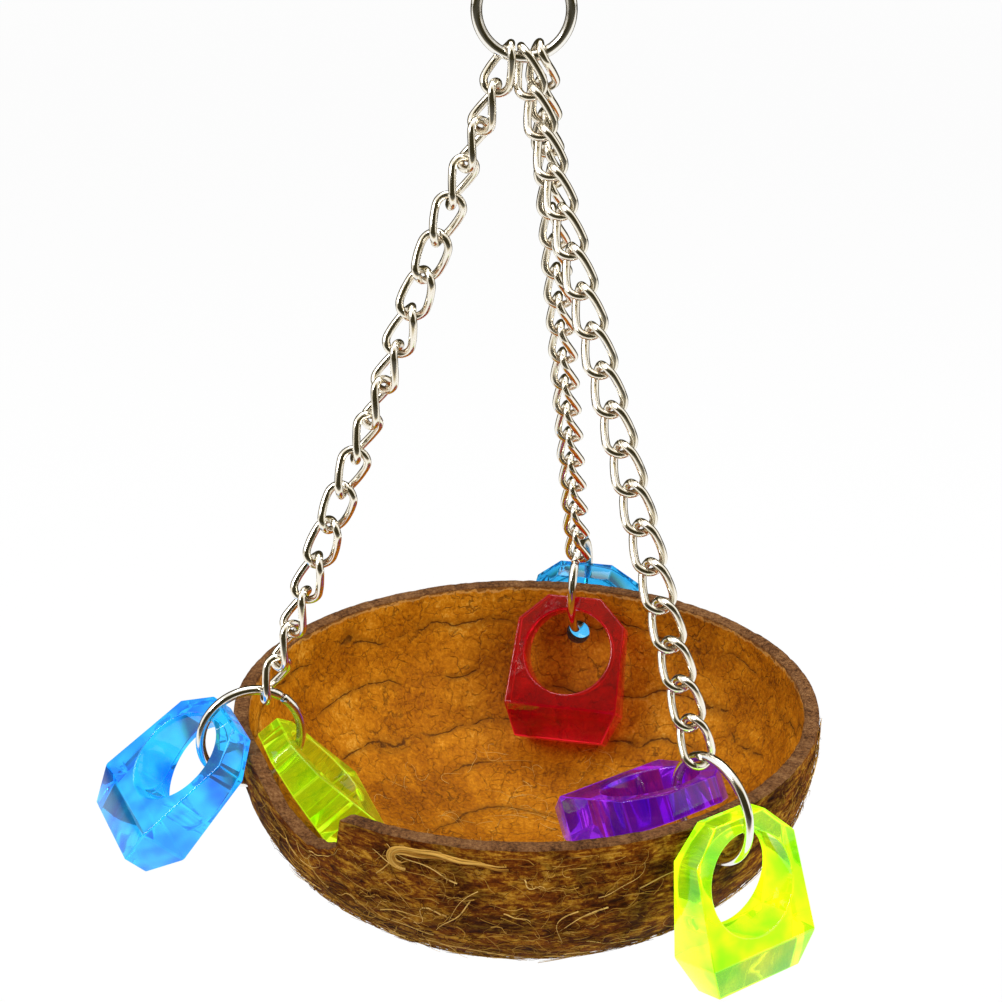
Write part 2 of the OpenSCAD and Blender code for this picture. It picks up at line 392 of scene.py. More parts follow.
def ring_form(inside, wire, seam):
    """Upright butted ring in the XZ plane, and how far each point is toward its inside."""
    middle_r = (inside + wire) / 2
    half_gap = BUTT_GAP / 2 / middle_r
    a = np.radians(seam) + np.linspace(half_gap, 2 * np.pi - half_gap, RING_STEPS + 1)
    path = middle_r * np.stack([np.cos(a), 0 * a, np.sin(a)], 1)
    across = np.tile([0.0, 1.0, 0.0], (len(a), 1))
    radius = np.full(len(a), wire / 2)
    radius[[0, -1]] *= BUTT_ROUND
    verts, faces = swept(path, across, radius, RING_SIDES, False)
    r = np.hypot(verts[:, 0], verts[:, 2])
    return verts, faces, np.clip((middle_r - r) / wire + 0.5, 0, 1)


def ring_pieces(metal):
    """The ring at the top and the three rings through the shell's holes."""
    verts, faces, inner = ring_form(TOP_RING_ID, TOP_WIRE, TOP_SEAM)
    place = verts + np.array([0, 0, TOP_MID_Z])
    new_piece("top_ring_wire", place, faces, [metal], "hanger", ["top_ring"], {"inner": inner})
    verts, faces, inner = ring_form(RIM_RING_ID, RIM_WIRE, RIM_SEAM)
    for leg, name in enumerate(LEGS):
        place = verts @ turn("Z", HOLE_AZ[leg]).T + rim_hook(leg)
        body, node = f"{name}_rim_ring", f"{name}_ring"
        new_piece(f"{name}_ring_wire", place, faces, [metal], body, [node], {"inner": inner})


# Shell

AROUND = 620
OUTER_ROWS = 80
INNER_ROWS = 70
DRILL_SIDES = 48
EDGE_ROUND = 0.45
SKIN, LINING, CUT = 0, 1, 2

# The rows stop just short of the pole, and their lumps fade out toward it
POLE_SHARE = 0.995
POLE_R = 0.05
POLE_FADE = 12

# Lumps of the two faces: how far they are rubbed off, sizes of the broad and fine ones, share of the broad
SKIN_RUB = 0.55
LINING_RUB = -0.3
BROAD_LUMP = 7
FINE_LUMP = 1.8
BROAD_SHARE = 0.62

# The dip in the rim: place across it and depth, as shares of its width and depth
DIP_SHAPE = ((-0.6, 0), (-0.42, 0.2), (-0.2, 0.7), (0.08, 1), (0.3, 0.85), (0.38, 0.66), (0.41, 0))
DIP_WAVER = 0.4

# Depth of the chips along the sawn rim, of those in the dip, and of its long worn places
CHIP = 0.25
DIP_CHIP = 0.7
WORN = 0.5
CUT_GRAIN = 0.1

# Rows across the sawn rim: share of the way in, and how far the row lies under the edge
CUT_ROWS = ((0.06, 0.16), (0.16, 0.02), (0.38, 0), (0.62, 0.02), (0.84, 0.02), (0.94, 0.16))

NOISE_SHIFT = (7.1, 3.7, 5.3)


def rough(points, size, seed=0.0):
    """Smooth noise from -1 to 1 at points in millimetres, with lumps of about this size."""
    shift = Vector([seed * step for step in NOISE_SHIFT])
    return np.array([noise.noise(Vector(p) / size + shift) for p in points.tolist()])


def rim_drop(azimuth, r):
    """How far the rim lies under its level: the broken dip, and chips along the cut."""
    away = np.radians(azimuth - DIP_AZ)
    spot = on_shell(azimuth, RIM_R, 0)
    y = r * np.sin(away) + DIP_WAVER * rough(spot, size=2.5, seed=8)
    across, deep = np.array(DIP_SHAPE).T
    drop = np.interp(y, across * DIP_W, deep * DIP_DEPTH)
    drop = np.where(np.cos(away) > 0, drop, 0)
    broken = np.clip(drop / 2, 0, 1)
    chips = np.clip(rough(spot, size=2.2) + 0.1, 0, 1) * (CHIP + DIP_CHIP * broken)
    return drop + chips + np.clip(rough(spot, size=9, seed=2) - 0.1, 0, 1) * WORN


def shell_form():
    """The half shell before its holes: points, faces and the kind of each face."""
    azimuth = np.arange(AROUND) * 360 / AROUND
    low, high = rim_drop(azimuth, RIM_R), rim_drop(azimuth, RIM_R - WALL)
    in_r, in_h = RIM_R - WALL, SHELL_H - WALL
    rows, kinds = [], []

    def skin_row(share, drop, top_r, height, rub, seed):
        depth = drop + (height - drop) * np.sin(share * np.pi / 2)
        r = side_r(depth, top_r, height)
        spot = on_shell(azimuth, r, -depth)
        fade = min(1, (1 - share) * POLE_FADE)
        broad = 0.5 + 0.5 * rough(spot, BROAD_LUMP, seed)
        fine = 0.5 + 0.5 * rough(spot, FINE_LUMP, seed + 1)
        shift = (BROAD_SHARE * broad + (1 - BROAD_SHARE) * fine) * rub * fade
        return on_shell(azimuth, np.maximum(r - shift, POLE_R), -depth)

    for share in np.linspace(POLE_SHARE, 0, OUTER_ROWS):
        rows.append(skin_row(share, low + EDGE_ROUND, RIM_R, SHELL_H, SKIN_RUB, seed=1))
    kinds += [SKIN] * (OUTER_ROWS - 1)
    out_r, lining_r = side_r(low), side_r(high, in_r, in_h)
    grain = rough(on_shell(azimuth, RIM_R, 0), size=1.1, seed=4) * CUT_GRAIN
    for share, sink in CUT_ROWS:
        r = out_r + (lining_r - out_r) * share
        drop = low + (high - low) * share
        rows.append(on_shell(azimuth, r, -drop - sink * EDGE_ROUND * 2 - np.abs(grain)))
    kinds += [CUT] * (len(CUT_ROWS) + 1)
    for share in np.linspace(0, POLE_SHARE, INNER_ROWS):
        rows.append(skin_row(share, high + EDGE_ROUND, in_r, in_h, LINING_RUB, seed=6))
    kinds += [LINING] * (INNER_ROWS - 1)
    verts = np.concatenate(rows)
    faces = grid_faces(len(rows), AROUND, False, True) + end_faces(len(verts), AROUND)
    return verts, faces, np.repeat(kinds, AROUND).tolist() + [SKIN, LINING]


def drill(azimuth):
    """A round cutter through the wall under the rim."""
    verts, faces = bar_form(HOLE_D / 2, 2 * WALL, DRILL_SIDES)
    verts = verts + np.array([HOLE_MID_R, 0, -HOLE_DROP])
    return verts @ turn("Z", azimuth).T + np.array([*NEST_OFF, RIM_Z]), faces


def shell_piece(skin, lining, cut):
    """The coconut half with its holes."""
    looks = [skin, lining, cut]
    verts, faces, kinds = shell_form()
    shell = new_piece("coconut_half", verts, faces, looks, kinds=kinds)
    cutters = []
    for azimuth in HOLE_AZ:
        points, sides = drill(azimuth)
        cutter = new_piece("drill", points, sides, looks, kinds=[CUT] * len(sides))
        cutter.data.polygons.foreach_set("use_smooth", [False] * len(sides))
        cutters.append(cutter)
    carve(shell, cutters, "MANIFOLD")
    reworked(shell, drop_idle_points)
    settle(shell, "nest", ["shell"])


# Husk fibres

FIBRE_SIDES = 3
OUTSIDE = (RIM_R, SHELL_H, 1)
INSIDE = (RIM_R - WALL, SHELL_H - WALL, -1)

# Kinds of fibre: face, count, points, length, thickness, curl, lift of the tip, tone
MATTED = (OUTSIDE, 5600, 6, (2, 8), (0.05, 0.13), 1.1, 0.6, (-0.1, 1.1))
LONG = (OUTSIDE, 300, 11, (5, 16), (0.08, 0.2), 1.1, 1.0, (1.1, 1.9))
SCRAPED = (INSIDE, 230, 9, (3, 9), (0.04, 0.085), 1.6, 0.25, (1.1, 1.8))

# Where fibres start, as an angle down from the rim
OUTSIDE_START = (0.06, 1.42)
INSIDE_START = (0.9, 1.45)

# How a fibre runs: spread of its heading, wiggle and its waves, least radius that it turns round
HEADING_SPREAD = 0.45
WIGGLE = 0.5
WIGGLE_WAVES = 7
LEAST_TURN_R = 8

# How it lies: gap under the rim, lowest share of the depth, lift all along and in the middle, taper, lean
RIM_GAP = 1.8
LOWEST = 0.992
LIE_LIFT = 0.03
ARCH_LIFT = 0.2
TIP_TAPER = 0.75
FIBRE_LEAN = -0.6

# No fibre starts this near to a charm, in degrees and in depth
CHARM_NEAR = 14
CHARM_REACH = 28

SLOPE_STEP = 0.2


def skin_slope(face, depth):
    """How far the radius of the outer skin or the lining shrinks with each millimetre of depth."""
    top_r, height, _ = face
    above = side_r(depth - SLOPE_STEP, top_r, height)
    below = side_r(depth + SLOPE_STEP, top_r, height)
    return np.maximum(above - below, 0) / (2 * SLOPE_STEP)


def skin_point(face, azimuth, depth, lift):
    """Point over the outer skin or the lining."""
    top_r, height, way = face
    slope = skin_slope(face, depth)
    flat = 1 / np.sqrt(1 + slope**2)
    r = side_r(depth, top_r, height) + way * lift * flat
    return on_shell(azimuth, r, -depth - way * lift * slope * flat)


def under_charm(azimuth, depth):
    """True where an outer charm leans close to the shell."""
    near = [abs((azimuth - az + 180) % 360 - 180) < CHARM_NEAR for az in HOLE_AZ]
    return any(near) and depth < CHARM_REACH


def one_fibre(face, points, length, thick, curl, lift, tone):
    """A fibre from a chance spot on the face, mostly round the shell, with its end lifted."""
    top_r, height, way = face
    low, high = OUTSIDE_START if way > 0 else INSIDE_START
    while True:
        azimuth, depth = rng.uniform(0, 360), height * math.sin(rng.uniform(low, high))
        if way < 0 or not under_charm(azimuth, depth):
            break
    share = np.linspace(0, 1, points)
    heading = math.pi / 2 + rng.normal(0, HEADING_SPREAD) + (math.pi if rng.random() < 0.5 else 0)
    angle = heading + rng.normal(0, curl) * share + rng.normal(0, WIGGLE) * np.sin(share * WIGGLE_WAVES)
    step = rng.uniform(*length) / (points - 1)
    r = max(float(side_r(depth, top_r, height)), LEAST_TURN_R)
    turned = np.degrees(np.cumsum(step * np.sin(angle)) / r)
    deep = depth + np.cumsum(step * np.cos(angle)) / math.hypot(1, skin_slope(face, depth))
    deep = np.clip(deep, rim_drop(azimuth + turned, top_r) + RIM_GAP, height * LOWEST)
    rise = LIE_LIFT + ARCH_LIFT * np.sin(share * np.pi) * rng.random() + rng.random() ** 2 * lift * share**2
    path = skin_point(face, azimuth + turned, deep, rise)
    axis = unit([math.cos(math.radians(azimuth)), math.sin(math.radians(azimuth)), FIBRE_LEAN])
    radius = rng.uniform(*thick) * (1 - TIP_TAPER * share)
    verts, faces = swept(path, np.tile(axis, (points, 1)), radius, FIBRE_SIDES, False)
    return verts, faces, np.full(len(verts), rng.uniform(*tone))


def fibre_pieces(husk):
    """Loose fibres: matted and long ones on the outer skin, scraped ones on the lining."""
    for name, kind in (("husk_mat", MATTED), ("husk_strands", LONG), ("lining_hairs", SCRAPED)):
        face, count, *nature = kind
        verts, faces, tone = merged([one_fibre(face, *nature) for _ in range(count)])
        new_piece(name, verts, faces, [husk], "nest", values={"tone": tone})


# Middle line of the hooked husk strip: azimuth, depth under the rim, lift off the skin
STRIP_KNOTS = (
    (248.9, 5.6, 0.4), (247.4, 6.0, 0.9), (246.1, 5.2, 1.4), (245.5, 3.7, 1.6),
    (246.1, 2.5, 1.5), (247.9, 1.9, 1.2), (251, 2.2, 1.0), (254, 2.0, 0.8),
    (258, 3.1, 0.7), (261.5, 2.9, 0.5), (264.5, 4.0, 0.3), (267.5, 3.9, 0.1),
)
STRIP_POINTS = 90
STRIP_EASING = 14

# Its width from the hooked end to the other, as shares of the length and of the width
STRIP_W = 1.5
STRIP_WIDTHS = ((0, 1.5), (0.1, 1), (0.55, 0.85), (1, 0.7))

# Its strands: radius, sides, waver, lift, how many points each end may fall short, and the thin ends
STRIP_STRANDS = 6
STRAND_R = 0.23
STRAND_SIDES = 8
STRAND_WAVER = 0.14
STRAND_LIFT = 0.16
HOOK_SHORT = 12
TAIL_SHORT = 34
THIN_POINTS = 14
THIN_END = 0.3


def husk_strip(husk):
    """A pale strip of husk under the front of the rim: strands side by side, hooked at one end."""
    knots = np.array(STRIP_KNOTS)
    at = np.linspace(0, len(knots) - 1, STRIP_POINTS)
    line = np.stack([np.interp(at, range(len(knots)), column) for column in knots.T], 1)
    for _ in range(STRIP_EASING):
        line[1:-1] = (line[:-2] + 2 * line[1:-1] + line[2:]) / 4
    path = skin_point(OUTSIDE, *line.T)
    outward = units(path - np.array([*NEST_OFF, RIM_Z - HOLE_DROP]))
    side = units(np.cross(outward, np.gradient(path, axis=0)))
    share = np.linspace(0, 1, STRIP_POINTS)
    width = STRIP_W * np.interp(share, *np.array(STRIP_WIDTHS).T)
    strands = []
    for place in np.linspace(-0.5, 0.5, STRIP_STRANDS):
        waver = STRAND_WAVER * np.sin(share * rng.uniform(12, 26) + rng.uniform(0, 6))
        lift = STRAND_LIFT * np.sin(share * rng.uniform(9, 20) + rng.uniform(0, 6))
        strand = path + side * (place * width + waver)[:, None] + outward * lift[:, None]
        first, last = rng.integers(0, HOOK_SHORT), STRIP_POINTS - rng.integers(0, TAIL_SHORT)
        ends = np.minimum(np.arange(last - first), np.arange(last - first)[::-1])
        radius = STRAND_R * rng.uniform(0.8, 1.15) * np.interp(ends, (0, THIN_POINTS), (THIN_END, 1))
        verts, faces = swept(strand[first:last], outward[first:last], radius, STRAND_SIDES, False)
        strands.append((verts, faces, np.full(len(verts), rng.uniform(0.55, 1.15))))
    verts, faces, tone = merged(strands)
    new_piece("husk_strip", verts, faces, [husk], "nest", values={"tone": tone})


# Charms

CHARM_EDGE = 0.34
CHARM_EDGE_STEPS = 3
CHARM_EDGE_ANGLE = 20
CHARM_HOLE_SIDES = 96
FLAT_FACE = 2.5

# Faces over the four points of each level: front and back, the two sides, top, foot and its bevels
CHARM_FACES = (
    (0, 3, 7, 11, 8, 4), (1, 5, 9, 10, 6, 2),
    (0, 4, 5, 1), (4, 8, 9, 5), (8, 12, 13, 9),
    (2, 6, 7, 3), (6, 10, 11, 7), (10, 14, 15, 11),
    (0, 1, 2, 3), (15, 14, 13, 12), (8, 11, 15, 12), (10, 9, 13, 14),
)


def charm_levels():
    """Heights, half widths and half thicknesses of a charm at its four levels."""
    lower_t = CHARM_T / 2
    return (
        (CHARM_TOP, CHARM_TOP_W / 2, CHARM_TOP_T / 2),
        (CHARM_UPPER, CHARM_UPPER_W / 2, CHARM_HALF_T - CHARM_TAPER * CHARM_UPPER),
        (-CHARM_DROP, CHARM_W / 2, lower_t),
        (-CHARM_DROP - CHARM_BASE_H, CHARM_W / 2 - CHARM_BEVEL, lower_t - CHARM_BEVEL),
    )


def charm_piece(leg, side, plastic):
    """One faceted acrylic charm with a round hole and softened edges."""
    name = f"{LEGS[leg]}_{'outer' if side == OUTER else 'inner'}_charm"
    verts = []
    for z, half_w, half_t in charm_levels():
        verts += [(half_t, half_w, z), (-half_t, half_w, z), (-half_t, -half_w, z), (half_t, -half_w, z)]
    piece = new_piece(f"{name}_acrylic", verts, CHARM_FACES, plastic)
    reworked(piece, face_outward)
    hole, hole_faces = bar_form(CHARM_HOLE_R, CHARM_T, CHARM_HOLE_SIDES, first=3)
    carve(piece, [new_piece("cutter", hole, hole_faces, plastic)], "EXACT")
    edges = piece.modifiers.new("edges", "BEVEL")
    edges.width, edges.segments, edges.limit_method = CHARM_EDGE * MM, CHARM_EDGE_STEPS, "ANGLE"
    # The bevel faces take the second material, which emits more painted light
    edges.angle_limit, edges.material = math.radians(CHARM_EDGE_ANGLE), 1
    keep_shape(piece)
    matrix, middle = charm_place(leg, side)
    coords = np.empty(len(piece.data.vertices) * 3, np.float32)
    piece.data.vertices.foreach_get("co", coords)
    hung = coords.reshape(-1, 3) @ matrix.T + middle * MM
    piece.data.vertices.foreach_set("co", hung.ravel())
    piece.data.update()
    flat = [face.area > (FLAT_FACE * MM) ** 2 and len(face.vertices) != 4 for face in piece.data.polygons]
    piece.data.polygons.foreach_set("use_smooth", [not is_flat for is_flat in flat])
    settle(piece, f"{name}_body", [name])


# Materials

FLOAT, COLOUR = "NodeSocketFloat", "NodeSocketColor"


def add(tree, kind, inputs=None, **settings):
    """A node with its settings, and inputs that are numbers or other nodes' outputs."""
    node = tree.nodes.new(kind)
    for key, value in settings.items():
        setattr(node, key, value)
    for key, value in (inputs or {}).items():
        if isinstance(value, bpy.types.NodeSocket):
            tree.links.new(value, node.inputs[key])
        else:
            node.inputs[key].default_value = value
    return node


def worked(tree, operation, a, b=0.0, clamp=False):
    """A number worked out from one or two others."""
    return add(tree, "ShaderNodeMath", {0: a, 1: b}, operation=operation, use_clamp=clamp).outputs[0]


def times(tree, a, b):
    """Two numbers multiplied."""
    return worked(tree, "MULTIPLY", a, b)


def added(tree, value, other, weight):
    """A number with so much of another added to it."""
    return worked(tree, "ADD", value, times(tree, other, weight))


def weighed(tree, *terms):
    """Sum of (value, weight) terms."""
    first, *others = terms
    total = times(tree, *first)
    for other in others:
        total = added(tree, total, *other)
    return total


def vectored(tree, operation, a, b=(0, 0, 0)):
    """A vector worked out from one or two others."""
    return add(tree, "ShaderNodeVectorMath", {0: a, 1: b}, operation=operation).outputs[0]


def scaled(tree, vector, scale):
    """A vector made longer or shorter."""
    return add(tree, "ShaderNodeVectorMath", {0: vector, "Scale": scale}, operation="SCALE").outputs[0]


def length_of(tree, vector):
    """The length of a vector."""
    return add(tree, "ShaderNodeVectorMath", {0: vector}, operation="LENGTH").outputs["Value"]


def parts_of(tree, vector):
    """The X, Y and Z of a vector."""
    return add(tree, "ShaderNodeSeparateXYZ", {0: vector}).outputs


def blended(tree, share, a, b, way="MIX"):
    """Two colours mixed by a share."""
    return add(tree, "ShaderNodeMix", {0: share, 6: a, 7: b}, data_type="RGBA", blend_type=way).outputs[2]


def eased(tree, value, low, high, to_low=0.0, to_high=1.0):
    """A number taken smoothly from one range to another."""
    inputs = {"Value": value, "From Min": low, "From Max": high, "To Min": to_low, "To Max": to_high}
    return add(tree, "ShaderNodeMapRange", inputs, interpolation_type="SMOOTHSTEP").outputs[0]


def coloured(tree, value, stops):
    """A colour from a number, by (number, colour) stops."""
    ramp = add(tree, "ShaderNodeValToRGB", {0: value})
    while len(ramp.color_ramp.elements) < len(stops):
        ramp.color_ramp.elements.new(0.5)
    for element, (place, colour) in zip(ramp.color_ramp.elements, stops):
        element.position, element.color = place, (*colour, 1)
    return ramp.outputs[0]


def own_place(tree):
    """Place on the piece, in metres."""
    return add(tree, "ShaderNodeTexCoord").outputs["Object"]


def round_axis(tree):
    """The level way out from the shell's axis, how far out it is, and the height, in metres."""
    centre = (NEST_OFF[0] * MM, NEST_OFF[1] * MM, 0)
    spot = vectored(tree, "SUBTRACT", own_place(tree), centre)
    level = vectored(tree, "MULTIPLY", spot, (1, 1, 0))
    return level, length_of(tree, level), parts_of(tree, spot)["Z"]


def grain_noise(tree, size, detail=4.0, roughness=0.55):
    """Noise with lumps of about this size in millimetres."""
    inputs = {"Vector": own_place(tree), "Scale": 1 / (size * MM), "Detail": detail, "Roughness": roughness}
    return add(tree, "ShaderNodeTexNoise", inputs).outputs["Fac"]


def new_group(name, ins, outs):
    """A shader group with named inputs and outputs, and the sockets of its two end nodes."""
    group = bpy.data.node_groups.new(name, "ShaderNodeTree")
    for key, (kind, value) in ins.items():
        socket = group.interface.new_socket(key, in_out="INPUT", socket_type=kind)
        socket.default_value = value
    for key, kind in outs.items():
        group.interface.new_socket(key, in_out="OUTPUT", socket_type=kind)
    return group, group.nodes.new("NodeGroupInput").outputs, group.nodes.new("NodeGroupOutput").inputs


STREAK_SLANT = 0.35


def streak_group():
    """Shell streaks: noise drawn out round the shell or up and down it."""
    ins = {"Round": (FLOAT, 20.0), "Rise": (FLOAT, 50.0), "Waver": (FLOAT, 0.5)}
    group, given, made = new_group("shell_streaks", ins, {"Streak": FLOAT})
    level, reach, height = round_axis(group)
    around = scaled(group, vectored(group, "NORMALIZE", level), given["Round"])
    climb = worked(group, "SUBTRACT", height, times(group, reach, STREAK_SLANT))
    climb = times(group, climb, given["Rise"])
    up = add(group, "ShaderNodeCombineXYZ", {"Z": climb}).outputs[0]
    vector = vectored(group, "ADD", around, up)
    inputs = {"Vector": vector, "Scale": 1.0, "Detail": 5.0, "Roughness": 0.6, "Distortion": given["Waver"]}
    group.links.new(add(group, "ShaderNodeTexNoise", inputs).outputs["Fac"], made["Streak"])
    return group


def bend_shade_group():
    """Wire: painted shade and painted dark reflection, warm and dull, on the inside of bends and in clouds,
    and fine drawn scratches.
    """
    ins = {
        "Metal": (COLOUR, (0.7, 0.68, 0.64, 1)),
        "Grime": (COLOUR, (0.2, 0.13, 0.06, 1)),
        "Amount": (FLOAT, 0.5),
        "Polish": (FLOAT, 0.14),
    }
    outs = {"Color": COLOUR, "Roughness": FLOAT, "Height": FLOAT}
    group, given, made = new_group("wire_bend_shade", ins, outs)
    inner = add(group, "ShaderNodeAttribute", attribute_name="inner").outputs["Fac"]
    cloud = grain_noise(group, size=2.2, detail=5, roughness=0.65)
    speck = grain_noise(group, size=0.35, detail=3, roughness=0.6)
    # Painted shade and dark reflection: the metal colour turns warm brown on the inside of bends, broken up
    # by a cloud of noise
    mask = eased(group, weighed(group, (inner, 0.55), (cloud, 0.6)), 0.55, 0.95)
    mask = worked(group, "MULTIPLY", mask, given["Amount"], clamp=True)
    group.links.new(blended(group, mask, given["Metal"], given["Grime"]), made["Color"])
    dull = added(group, given["Polish"], mask, 0.3)
    group.links.new(added(group, dull, speck, 0.08), made["Roughness"])
    group.links.new(speck, made["Height"])
    return group


def acrylic_group():
    """Acrylic: slight cloudy change of tint, fine rubbed scratches and faint moulding waves."""
    ins = {"Tint": (COLOUR, (1, 1, 1, 1)), "Deep": (COLOUR, (1, 1, 1, 1)), "Polish": (FLOAT, 0.03)}
    outs = {"Color": COLOUR, "Roughness": FLOAT, "Height": FLOAT}
    group, given, made = new_group("moulded_acrylic", ins, outs)
    cloud = grain_noise(group, size=9, detail=2, roughness=0.5)
    scratch = grain_noise(group, size=0.5, detail=4, roughness=0.7)
    wave = grain_noise(group, size=4, detail=1, roughness=0.4)
    deeper = eased(group, cloud, 0.35, 0.68)
    group.links.new(blended(group, deeper, given["Tint"], given["Deep"]), made["Color"])
    rubbed = times(group, eased(group, scratch, 0.4, 0.8), 0.015)
    group.links.new(worked(group, "ADD", given["Polish"], rubbed), made["Roughness"])
    group.links.new(added(group, wave, scratch, 0.01), made["Height"])
    return group


def new_material(name, **constants):
    """A material with a Principled shader and its plain constants."""
    material = bpy.data.materials.new(name)
    material.use_nodes = True
    shader = material.node_tree.nodes["Principled BSDF"]
    for key, value in constants.items():
        shader.inputs[key.replace("_", " ")].default_value = value
    return material, material.node_tree, shader.inputs


def coated(tree, shader, colour, roughness):
    """Gives a shader its colour and roughness."""
    tree.links.new(colour, shader["Base Color"])
    tree.links.new(roughness, shader["Roughness"])


def bumped(tree, shader, height, strength, distance):
    """Bump from a height, with its distance in millimetres."""
    bump = add(tree, "ShaderNodeBump", {"Height": height, "Strength": strength, "Distance": distance * MM})
    tree.links.new(bump.outputs[0], shader["Normal"])


def placed(tree, group, **values):
    """A shared group placed in a material with its own values."""
    return add(tree, "ShaderNodeGroup", values, node_tree=group).outputs


HUSK_STOPS = (
    (0.37, (0.013, 0.003, 0.0005)),
    (0.45, (0.105, 0.021, 0.001)),
    (0.50, (0.190, 0.053, 0.003)),
    (0.56, (0.41, 0.180, 0.013)),
    (0.66, (0.64, 0.37, 0.055)),
)


def husk_skin(streaks):
    """Outer skin: red brown under matted olive tan fibre, drawn out round the shell."""
    material, tree, shader = new_material("husk_skin", Specular_IOR_Level=0.05)
    strands = placed(tree, streaks, Round=24.0, Rise=1500.0, Waver=0.9)["Streak"]
    bands = placed(tree, streaks, Round=5.0, Rise=140.0, Waver=0.7)["Streak"]
    clump = placed(tree, streaks, Round=11.0, Rise=560.0, Waver=0.8)["Streak"]
    mat = grain_noise(tree, size=0.8, detail=6, roughness=0.72)
    fuzz = weighed(tree, (strands, 0.5), (mat, 0.5))
    value = weighed(tree, (fuzz, 0.52), (clump, 0.48))
    dark = eased(tree, bands, 0.36, 0.58, to_low=0.32)
    shade = add(tree, "ShaderNodeCombineColor", {0: dark, 1: dark, 2: dark}).outputs[0]
    colour = blended(tree, 1.0, coloured(tree, value, HUSK_STOPS), shade, "MULTIPLY")
    coated(tree, shader, colour, eased(tree, value, 0.3, 0.7, to_low=0.72, to_high=0.95))
    bumped(tree, shader, value, strength=1.0, distance=1.6)
    return material


# Veins: from one to the next, half width of the dark core and of the halo, radius in which they fade out
VEIN_SPACING = 15
VEIN_WIDTH = 0.55
VEIN_HALO = 2.4
VEIN_FREE_R = 26
VEIN_SLANT = 0.8

# Torn edge of the lining: depth under the rim, how far it strays, half width of the pale line
SKIRT_DEPTH = 1.1
SKIRT_TEAR = 3.0
SKIRT_LINE = 0.42

# Cracks: size of their waves, and how far they stray as a share of the cells
CRACK_WAVE = 3
CRACK_STRAY = 0.9

LINING_STOPS = (
    (0.36, (0.150, 0.036, 0.001)),
    (0.47, (0.365, 0.115, 0.002)),
    (0.56, (0.54, 0.200, 0.006)),
    (0.66, (0.74, 0.39, 0.05)),
)
MARK_BROWN = (0.050, 0.015, 0.003, 1)
BARE_BROWN = (0.135, 0.058, 0.018, 1)
TORN_PALE = (0.62, 0.36, 0.11, 1)


def vein_lines(tree):
    """Millimetres from the nearest wavy vein round the lining, and the mask that fades veins low down."""
    _, reach, height = round_axis(tree)
    climb = added(tree, height, reach, VEIN_SLANT)
    phase = worked(tree, "DIVIDE", climb, VEIN_SPACING * MM)
    phase = added(tree, phase, grain_noise(tree, size=26, detail=2), 1.9)
    phase = added(tree, phase, grain_noise(tree, size=6, detail=4, roughness=0.6), 0.34)
    off = worked(tree, "ABSOLUTE", worked(tree, "SUBTRACT", worked(tree, "FRACT", phase), 0.5))
    fade = eased(tree, reach, VEIN_FREE_R * MM / 2, VEIN_FREE_R * MM)
    return times(tree, off, VEIN_SPACING), fade


def ragged_skirt(tree):
    """Masks of the bare band under the rim, and of the pale torn edge of the lining below it."""
    height = parts_of(tree, own_place(tree))["Z"]
    depth = times(tree, worked(tree, "SUBTRACT", RIM_Z * MM, height), 1 / MM)
    stray = worked(tree, "SUBTRACT", grain_noise(tree, size=2.2, detail=4, roughness=0.6), 0.5)
    below = added(tree, depth, stray, SKIRT_TEAR)
    edge = worked(tree, "ABSOLUTE", worked(tree, "SUBTRACT", below, SKIRT_DEPTH))
    return eased(tree, below, SKIRT_DEPTH, SKIRT_DEPTH - 0.3), eased(tree, edge, SKIRT_LINE, 0.1)


def crack_lines(tree, size, width):
    """Short fine cracks, as broken edges of cells of about this size in millimetres."""
    spot = own_place(tree)
    inputs = {"Vector": spot, "Scale": 1 / (CRACK_WAVE * MM), "Detail": 3.0}
    warp = add(tree, "ShaderNodeTexNoise", inputs).outputs["Color"]
    spot = vectored(tree, "ADD", spot, scaled(tree, warp, size * CRACK_STRAY * MM))
    inputs = {"Vector": spot, "Scale": 1 / (size * MM)}
    edge = add(tree, "ShaderNodeTexVoronoi", inputs, feature="DISTANCE_TO_EDGE").outputs["Distance"]
    return eased(tree, edge, width, 0.0)


def shell_lining(streaks):
    """Inner face: scraped orange brown with long dark veins, short cracks and pale scrapes."""
    material, tree, shader = new_material("shell_lining", Specular_IOR_Level=0.08)
    scrape = placed(tree, streaks, Round=16.0, Rise=520.0, Waver=0.6)["Streak"]
    cloud = grain_noise(tree, size=16, detail=5, roughness=0.6)
    patch = grain_noise(tree, size=4, detail=4, roughness=0.6)
    speck = grain_noise(tree, size=0.7, detail=5, roughness=0.65)
    base = coloured(tree, weighed(tree, (cloud, 0.44), (speck, 0.36), (scrape, 0.2)), LINING_STOPS)
    far, low_fade = vein_lines(tree)
    core = times(tree, eased(tree, far, VEIN_WIDTH, 0.05), eased(tree, patch, 0.32, 0.46))
    halo = times(tree, eased(tree, far, VEIN_HALO, 0.2), 0.42)
    vein = times(tree, worked(tree, "MAXIMUM", core, halo), eased(tree, cloud, 0.40, 0.52))
    vein = times(tree, vein, low_fade)
    coarse = times(tree, crack_lines(tree, size=6, width=0.055), eased(tree, patch, 0.46, 0.6))
    fine = times(tree, crack_lines(tree, size=2.3, width=0.055), eased(tree, patch, 0.54, 0.42))
    coarse = times(tree, coarse, 0.6)
    fine = times(tree, fine, 0.45)
    marks = worked(tree, "MAXIMUM", coarse, fine)
    marks = worked(tree, "MAXIMUM", marks, times(tree, vein, 0.88))
    bare, torn = ragged_skirt(tree)
    colour = blended(tree, marks, base, MARK_BROWN)
    colour = blended(tree, times(tree, bare, 0.75), colour, BARE_BROWN)
    colour = blended(tree, times(tree, torn, 0.45), colour, TORN_PALE)
    coated(tree, shader, colour, eased(tree, speck, 0.3, 0.7, to_low=0.45, to_high=0.7))
    height = weighed(tree, (patch, 0.7), (speck, 0.25))
    height = worked(tree, "SUBTRACT", height, times(tree, marks, 0.6))
    bumped(tree, shader, height, strength=0.7, distance=0.7)
    return material


